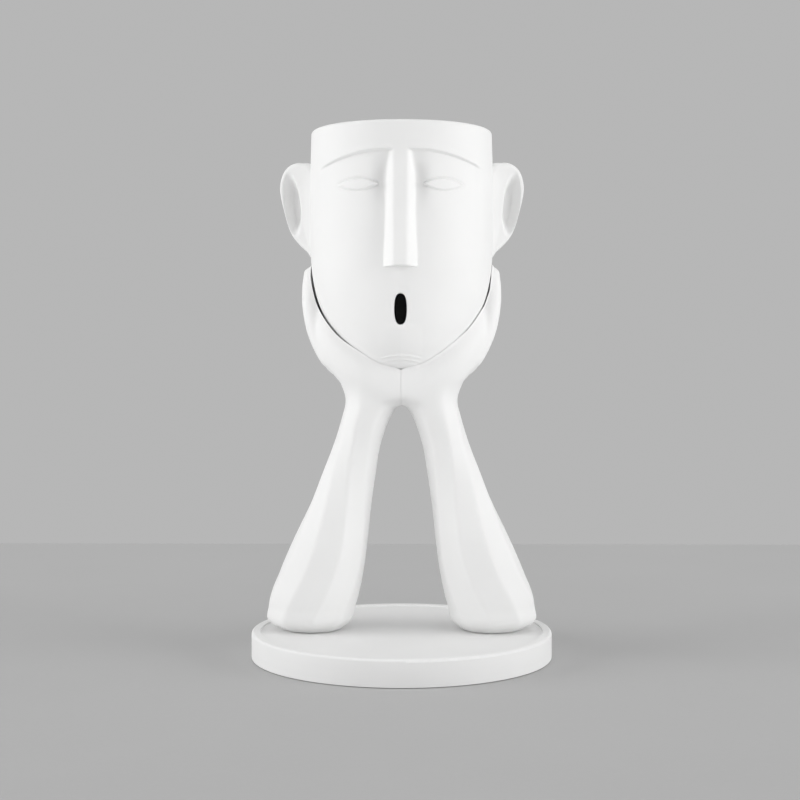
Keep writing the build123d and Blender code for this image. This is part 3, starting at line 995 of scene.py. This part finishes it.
@dataclass
class CradlingArm:
    """Forearm that stands on its elbow, with the palm, four fingers and thumb that hold the head."""

    form: HeadForm
    finish: PrintedWhite
    floor: float = 10.8
    spread: float = 39.0
    elbow_size: Pair = (38.0, 34.0)
    setback: float = 2.0
    advance: float = 4.0
    clearance: float = 0.15
    slack: float = 0.9
    seam: float = 0.035
    lean: float = 22.0
    wrist: float = 110.0
    heel_growth: float = 14.0
    tip_growth: float = 4.0
    tip_share: float = 0.42
    # Forearm: each row gives the rise, the place out, the half width, the front, the back and the power
    sections: Rows = (
        (0.000, 1.000, 0.620, 0.62, 0.62, 2.0),
        (0.030, 1.025, 0.890, 0.89, 0.89, 2.0),
        (0.100, 1.005, 1.000, 1.00, 1.00, 2.0),
        (0.235, 0.890, 0.955, 0.98, 0.98, 2.0),
        (0.360, 0.788, 0.845, 0.92, 0.92, 2.0),
        (0.485, 0.688, 0.710, 0.82, 0.82, 2.0),
        (0.610, 0.588, 0.610, 0.76, 0.73, 2.0),
        (0.735, 0.482, 0.535, 0.80, 0.66, 2.1),
        (0.830, 0.395, 0.550, 0.93, 0.65, 2.2),
        (0.917, 0.308, 0.640, 1.03, 0.73, 2.3),
        (0.960, 0.318, 0.720, 1.07, 0.82, 2.3),
        (1.000, 0.330, 0.770, 1.09, 0.90, 2.3),
        (1.050, 0.340, 0.760, 1.02, 0.92, 2.3),
    )
    facets: int = 9
    facet_share: float = 0.75
    facet_wander: Triple = (0.35, 5.0, 0.2)
    elbow_share: float = 0.1
    forearm_grid: Tuple[int, int, int] = (14, 64, 144)
    # Fingers and thumb: places across the hand and along it, and shares of a finger with the radius there
    finger_places: Tuple[float, ...] = (-16.4, -7.9, 0.6, 9.1)
    finger_reach: Tuple[float, ...] = (56.3, 62.1, 64.0, 60.8)
    finger_root: float = 16.0
    finger_fan: Pair = (0.8, 20.0)
    finger_steps: int = 26
    thumb_start: Pair = (8.0, 10.0)
    thumb_end: Pair = (18.0, 39.0)
    thumb_radii: Pair = (6.0, 4.3)
    thumb_proud: float = 0.8
    thumb_steps: int = 20
    limb_turns: int = 28
    ball_bends: Tuple[float, ...] = (90.0, 65.0, 40.0, 18.0)
    ray: Rows = (
        (0.00, 5.6),
        (0.25, 5.0),
        (0.42, 4.7),
        (0.60, 4.4),
        (0.78, 4.45),
        (0.92, 4.1),
        (1.00, 3.5),
    )
    # Palm: each row gives the reach, and the front and back edge there
    palm_edges: Rows = (
        (-14.0, -17.0, 9.0),
        (-4.0, -22.6, 11.0),
        (6.0, -25.9, 13.5),
        (16.0, -25.8, 15.0),
        (26.0, -24.1, 15.5),
        (36.0, -20.9, 14.5),
        (46.0, -19.6, 13.5),
    )
    # Jaw: each row gives the distance from the middle plane and the height
    jaw_line: Rows = (
        (0.0, 124.3),
        (8.0, 127.8),
        (16.2, 131.2),
        (22.3, 136.0),
        (27.7, 140.8),
        (30.8, 144.6),
        (35.3, 151.4),
        (37.7, 158.0),
        (38.5, 164.0),
        (38.8, 180.0),
    )
    trim_margin: float = 8.0
    trim_places: Tuple[float, ...] = (-80.0, -40.0, 0.0)
    far_size: Triple = (60.0, 120.0, 120.0)
    palm_share: float = 0.62
    palm_grid: Tuple[int, int] = (130, 180)
    palm_top: float = 42.0
    edge_roll: float = 13.0
    edge_power: float = 0.7
    # Room round the head: each fade of the slack gives where it starts or ends, and its length
    room_top: float = 200.0
    room_grid: Tuple[int, int] = (110, 160)
    slack_fades: Rows = ((131.0, 9.0), (172.0, 8.0), (2.0, 8.0))
    # Skin: factor and rounds of the smoothing, and the height, spread and rounds of more at the wrist
    smoothing: Tuple[float, int] = (0.5, 9)
    wrist_blend: Tuple[float, float, int] = (115.0, 8.0, 60)
    voxel: float = 0.7
    shade_angle: float = 42.0

    def forearm(self) -> bpy.types.Object:
        """Forearm and wrist with soft, slightly wandering facets."""
        rows = np.array(self.sections)
        low_count, high_count, points = self.forearm_grid
        elbow = np.linspace(0.0, self.elbow_share, low_count)
        rises = np.concatenate([elbow, np.linspace(self.elbow_share, rows[-1, 0], high_count)[1:]])
        turns = full_turn(points)
        face = 2 * math.pi / self.facets
        wide, deep = (size / 2 for size in self.elbow_size)
        swing, wave, start = self.facet_wander
        rings = []
        for rise, row in zip(rises, curve_through(rows[:, 0], rows[:, 1:], rises)):
            out, half, front, back, power = row
            aside = (turns + swing * math.sin(wave * rise) + start) % face - face / 2
            flat = 1.0 + self.facet_share * (1.0 / np.cos(aside) - 0.5 - 0.5 / math.cos(face / 2))
            right, behind = (flat * place for place in unit_ring(turns, power))
            across = out * self.spread + half * wide * right
            middle = self.setback + (-self.advance - self.setback) * rise
            along = middle + np.where(behind < 0, front, back) * deep * behind
            level = np.full_like(turns, self.floor + (self.form.chin - self.floor) * rise)
            rings.append(np.stack([across, along, level], axis=1))
        return skinned("forearm", capped(np.stack(rings)))

    def growth_at(self, heights: np.ndarray) -> np.ndarray:
        """Thickness of the hand outside the head at some heights."""
        share = np.clip((heights - self.form.chin) / (self.form.height * self.tip_share), 0.0, 1.0)
        return self.heel_growth + (self.tip_growth - self.heel_growth) * share

    def tube(self, name: str, path: np.ndarray, radii: np.ndarray) -> bpy.types.Object:
        """Round limb along a path, closed by half balls at both ends."""
        ahead = np.gradient(path, axis=0)
        ahead /= np.linalg.norm(ahead, axis=1)[:, None]
        side = np.cross(ahead, np.array([1.0, 0.0, 0.0]))
        side /= np.linalg.norm(side, axis=1)[:, None]
        out = np.cross(side, ahead)
        turns = full_turn(self.limb_turns)[None, :, None]
        ring = np.cos(turns) * side[:, None, :] + np.sin(turns) * out[:, None, :]
        body = path[:, None, :] + radii[:, None, None] * ring
        bends = np.radians(self.ball_bends)[:, None, None]
        start = path[0] - ahead[0] * radii[0] * np.sin(bends) + ring[0] * radii[0] * np.cos(bends)
        end = path[-1] + ahead[-1] * radii[-1] * np.sin(bends) + ring[-1] * radii[-1] * np.cos(bends)
        return skinned(name, np.concatenate([start, body, end[::-1]]))

    def path_on_head(self, across: np.ndarray, reach: np.ndarray, radii: np.ndarray) -> np.ndarray:
        """Line over the head's side whose tube has its outside on the outside of the hand.

        Args:
            across: Places across the hand, from the front to the back.
            reach: Places along the hand, from the wrist.
            radii: Radius of the tube at each place.

        Returns:
            Points of the line.
        """
        lean = math.radians(self.lean)
        along = -self.advance + across * math.cos(lean) + reach * math.sin(lean)
        up = self.wrist - across * math.sin(lean) + reach * math.cos(lean)
        growth = self.growth_at(up) - radii
        side = self.form.side_at(along, np.maximum(up, self.form.chin), growth)
        return np.stack([side, along, up], axis=1)

    def hand_place(self, along: np.ndarray, up: np.ndarray) -> Tuple[np.ndarray, np.ndarray]:
        """Places across and along the hand of points of the side view."""
        lean = math.radians(self.lean)
        behind, above = along + self.advance, up - self.wrist
        across = behind * math.cos(lean) - above * math.sin(lean)
        return across, behind * math.sin(lean) + above * math.cos(lean)

    def palm(self) -> bpy.types.Object:
        """Palm and heel: the head's own form, swollen outwards and rolled off to its edges."""
        count, points = self.palm_grid
        turns = full_turn(points)
        rows = np.array(self.form.sections)[:, 0]
        growth = self.growth_at(self.form.level(rows))
        shares = np.linspace(0.0, self.palm_share, count)
        sheets = []
        for grown in (0.0, growth):
            table = np.column_stack(self.form.sections_grown(grown))
            level, half, middle, deep = curve_through(rows, table, shares).T[..., None]
            across, along = unit_ring(turns, self.form.power)
            sheets.append(np.stack([half * across, middle + deep * along, level + 0.0 * turns], axis=2))
        inner, outer = sheets
        halfway = (inner + outer) / 2
        across, reach = self.hand_place(halfway[..., 1], halfway[..., 2])
        edges = np.array(self.palm_edges)
        front, back = curve_through(edges[:, 0], edges[:, 1:], reach.ravel()).T
        rolls = (
            across - front.reshape(across.shape),
            back.reshape(across.shape) - across,
            self.palm_top - reach,
        )
        swell = np.ones_like(across)
        for roll in rolls:
            swell *= (1.0 - (1.0 - np.clip(roll / self.edge_roll, 0.0, 1.0)) ** 2) ** self.edge_power
        return skinned("palm", capped(inner + (outer - inner) * swell[..., None]))

    def hand(self) -> List[bpy.types.Object]:
        """Palm, fingers and thumb as overlapping limbs."""
        rows = np.array(self.ray)
        limbs = [self.palm()]
        share = np.linspace(0.0, 1.0, self.finger_steps)
        radii = curve_through(rows[:, 0], rows[:, 1:], share)[:, 0]
        narrow, length = self.finger_fan
        for number, (place, reach) in enumerate(zip(self.finger_places, self.finger_reach)):
            along = self.finger_root + share * (reach - radii[-1] - self.finger_root)
            across = place * (narrow + (1.0 - narrow) * smooth_step((along - self.finger_root) / length))
            limbs.append(self.tube(f"finger_{number}", self.path_on_head(across, along, radii), radii))
        across, along = np.linspace(self.thumb_start, self.thumb_end, self.thumb_steps).T
        radii = np.linspace(*self.thumb_radii, self.thumb_steps)
        path = self.path_on_head(across, along, radii - self.thumb_proud)
        return [*limbs, self.tube("thumb", path, radii)]

    def head_room(self, slack: float) -> bpy.types.Object:
        """Tool in the shape of the head with the room that a hand leaves round it.

        Args:
            slack: Extra room that the hand leaves along the front of the cheek.

        Returns:
            The tool.
        """
        count, points = self.room_grid
        turns = full_turn(points)
        low = float(self.form.sections_grown(self.clearance)[0][0])
        heights = np.linspace(low, self.room_top, count)
        rings = self.form.rings(heights, turns, self.clearance)
        loose = self.form.rings(np.maximum(heights, self.form.chin), turns, self.clearance + slack)
        (foot, foot_ease), (top, top_ease), (back, back_ease) = self.slack_fades
        along, up = rings[..., 1], rings[..., 2]
        share = smooth_step((up - foot) / foot_ease) * smooth_step((top - up) / top_ease)
        share *= smooth_step((back - along) / back_ease)
        rings[..., :2] += (loose - rings)[..., :2] * share[..., None]
        return skinned("head_room", capped(rings))

    def jaw_room(self) -> bpy.types.Object:
        """Tool that trims the front of the hand along the line of the jaw."""
        beyond = [(-self.trim_margin, self.jaw_line[end][1]) for end in (-1, 0)]
        rings = []
        for along in self.trim_places:
            rings.append(np.array([(across, along, up) for across, up in (*beyond, *self.jaw_line)]))
        return skinned("jaw_room", capped(np.stack(rings), (0.0,)))

    def far_side(self) -> bpy.types.Object:
        """Tool that takes off what crosses the middle plane."""
        bpy.ops.object.select_all(action="DESELECT")
        place = ((self.seam - self.far_size[0] / 2) * MM, 0.0, self.wrist * MM)
        bpy.ops.mesh.primitive_cube_add(size=1, location=place)
        tool = bpy.context.active_object
        tool.scale = [side * MM for side in self.far_size]
        bpy.ops.object.transform_apply(location=True, rotation=True, scale=True)
        return tool

    def build(self) -> List[bpy.types.Object]:
        """Builds and dresses both arms.

        Returns:
            The left and the right arm, which ride on the stand.
        """
        arm = joined([self.forearm(), *self.hand()], "left_arm_form")
        with_modifier(arm, "REMESH", mode="VOXEL", voxel_size=self.voxel * MM)
        factor, rounds = self.smoothing
        with_modifier(arm, "SMOOTH", factor=factor, iterations=rounds)
        middle, spread, rounds = self.wrist_blend
        points = np.empty(len(arm.data.vertices) * 3, np.float32)
        arm.data.vertices.foreach_get("co", points)
        weigh(arm, "wrist", bell(points.reshape(-1, 3)[:, 2] / MM - middle, spread))
        with_modifier(arm, "SMOOTH", factor=factor, iterations=rounds, vertex_group="wrist")
        pick_only(arm)
        bpy.ops.object.duplicate()
        other = bpy.context.active_object
        for piece, slack in ((arm, 0.0), (other, self.slack)):
            combined(piece, self.head_room(slack), Cut.AWAY)
            combined(piece, self.jaw_room(), Cut.AWAY)
            combined(piece, self.far_side(), Cut.AWAY)
            shade(piece, self.shade_angle)
        pick_only(other)
        bpy.ops.transform.resize(value=(-1, 1, 1), center_override=(0, 0, 0))
        bpy.ops.object.transform_apply(location=True, rotation=True, scale=True)
        with editing(other):
            bpy.ops.mesh.normals_make_consistent(inside=False)
        arm.name = arm.data.name = "left_arm_form"
        other.name = other.data.name = "right_arm_form"
        for piece, node in ((arm, "left_arm"), (other, "right_arm")):
            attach(piece, "stand")
            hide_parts(node)
            dress(piece, self.finish)
        return [arm, other]


@dataclass
class KeptNodes:
    """Pieces that keep the shape they have in the part and get a better finish."""

    finishes: Dict[str, Finish]

    def dressed(self) -> List[bpy.types.Object]:
        """Gives each piece its finish.

        Returns:
            The pieces that were dressed.
        """
        pieces = []
        for node, finish in self.finishes.items():
            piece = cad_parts[node]
            dress(piece, finish)
            pieces.append(piece)
        return pieces


@dataclass
class Studio:
    """Floor, plain backdrop, lamps and camera."""

    camera_place: Point = (8.0, -628.0, 130.0)
    camera_aim: Point = (-0.7, 0.0, 111.0)
    lens: float = 65.25
    sensor: float = 36.0
    floor_end: float = 372.0
    floor_size: float = 6000.0
    floor_tone: float = 0.48
    backdrop_tone: float = 0.472
    ambient: float = 0.44
    lamp_aim: Point = (0.0, 0.0, 120.0)
    far_lamps: Tuple[Tuple[str, Point, float, float], ...] = (
        ("left_soft", (-700.0, -150.0, 200.0), 2.35, 50.0),
        ("right_soft", (690.0, -230.0, 150.0), 2.65, 50.0),
        ("top_soft", (0.0, -120.0, 900.0), 0.70, 80.0),
    )
    card_place: Point = (0.0, -230.0, 3.0)
    card_aim: Point = (0.0, -229.0, 300.0)
    card_size: Pair = (1000.0, 260.0)
    card_power: float = 0.65

    def set_floor(self) -> None:
        """Lays the floor, which ends a little behind the planter."""
        bpy.ops.object.select_all(action="DESELECT")
        middle = (self.floor_end - self.floor_size / 2) * MM
        bpy.ops.mesh.primitive_plane_add(size=self.floor_size * MM, location=(0.0, middle, 0.0))
        plane = bpy.context.active_object
        plane.name = plane.data.name = "floor"
        bpy.ops.object.transform_apply(location=True, rotation=True, scale=True)
        plane.data.materials.append(StageGrey("floor_grey", self.floor_tone).material())

    def set_lamp(self, name: str, kind: str, place: Point, aim: Point, power: float, **settings: Any) -> None:
        """Sets a soft lamp that faces a point.

        Args:
            name: Name of the lamp.
            kind: Blender's kind of lamp.
            place: Place of its middle.
            aim: Point that it faces.
            power: Its power in watts, or for a far lamp in watts on each square metre.
            **settings: Its other settings.
        """
        data = bpy.data.lights.new(name, kind)
        data.energy = power
        for key, value in settings.items():
            setattr(data, key, value)
        lamp = bpy.data.objects.new(name, data)
        bpy.context.scene.collection.objects.link(lamp)
        lamp.location = Vector(place) * MM
        lamp.visible_camera = False
        lamp.rotation_euler = (Vector(aim) * MM - lamp.location).to_track_quat("-Z", "Y").to_euler()

    def set_world(self) -> None:
        """Sets an even soft light all round, before a plain grey backdrop."""
        world = bpy.data.worlds.new("soft_room")
        bpy.context.scene.world = world
        world.use_nodes = True
        bench = NodeBench(world.node_tree)
        light = bench.node("ShaderNodeBackground", None, Color=rgb(1.0, 1.0, 1.0), Strength=self.ambient)
        backdrop = bench.node("ShaderNodeBackground", None, Color=rgb(*[self.backdrop_tone] * 3))
        seen = bench.wire(bench.node("ShaderNodeLightPath"), "Is Camera Ray")
        shaders = {"input_1": bench.wire(light), "input_2": bench.wire(backdrop)}
        choice = bench.node("ShaderNodeMixShader", None, Fac=seen, **shaders)
        bench.node("ShaderNodeOutputWorld", None, Surface=bench.wire(choice))

    def set_camera(self) -> None:
        """Stands the camera at the photograph's place."""
        data = bpy.data.cameras.new("camera")
        data.lens = self.lens
        data.sensor_width = self.sensor
        camera = bpy.data.objects.new("camera", data)
        bpy.context.scene.collection.objects.link(camera)
        camera.location = Vector(self.camera_place) * MM
        aim = Vector(self.camera_aim) * MM - camera.location
        camera.rotation_euler = aim.to_track_quat("-Z", "Y").to_euler()
        bpy.context.scene.camera = camera

    def build(self) -> None:
        """Sets the whole studio."""
        bpy.context.scene.view_settings.view_transform = "Standard"
        self.set_floor()
        self.set_world()
        for name, place, power, width in self.far_lamps:
            self.set_lamp(name, "SUN", place, self.lamp_aim, power, angle=math.radians(width))
        wide, deep = (side * MM for side in self.card_size)
        card = {"shape": "RECTANGLE", "size": wide, "size_y": deep}
        self.set_lamp("low_card", "AREA", self.card_place, self.card_aim, self.card_power, **card)
        self.set_camera()


def main() -> None:
    """Builds the planter and its studio, and reports each piece."""
    logging.basicConfig(level=logging.INFO, format="%(name)s: %(message)s")
    form = HeadForm()
    white = PrintedWhite()
    pieces = [HeadPot(form, white).build()]
    pieces += CradlingArm(form, white).build()
    kept = KeptNodes({
        "base_saucer": white,
        "liner_pot": MouldedLiner(),
        "wrist_dowel": BeechDowel(),
        "arm_screws": ZincScrew(),
        "foot_pads": PadRubber(),
    })
    pieces += kept.dressed()
    Studio().build()
    for piece in pieces:
        LOG.info("%s has %d faces", piece.name, len(piece.data.polygons))


if __name__ == "__main__":
    main()
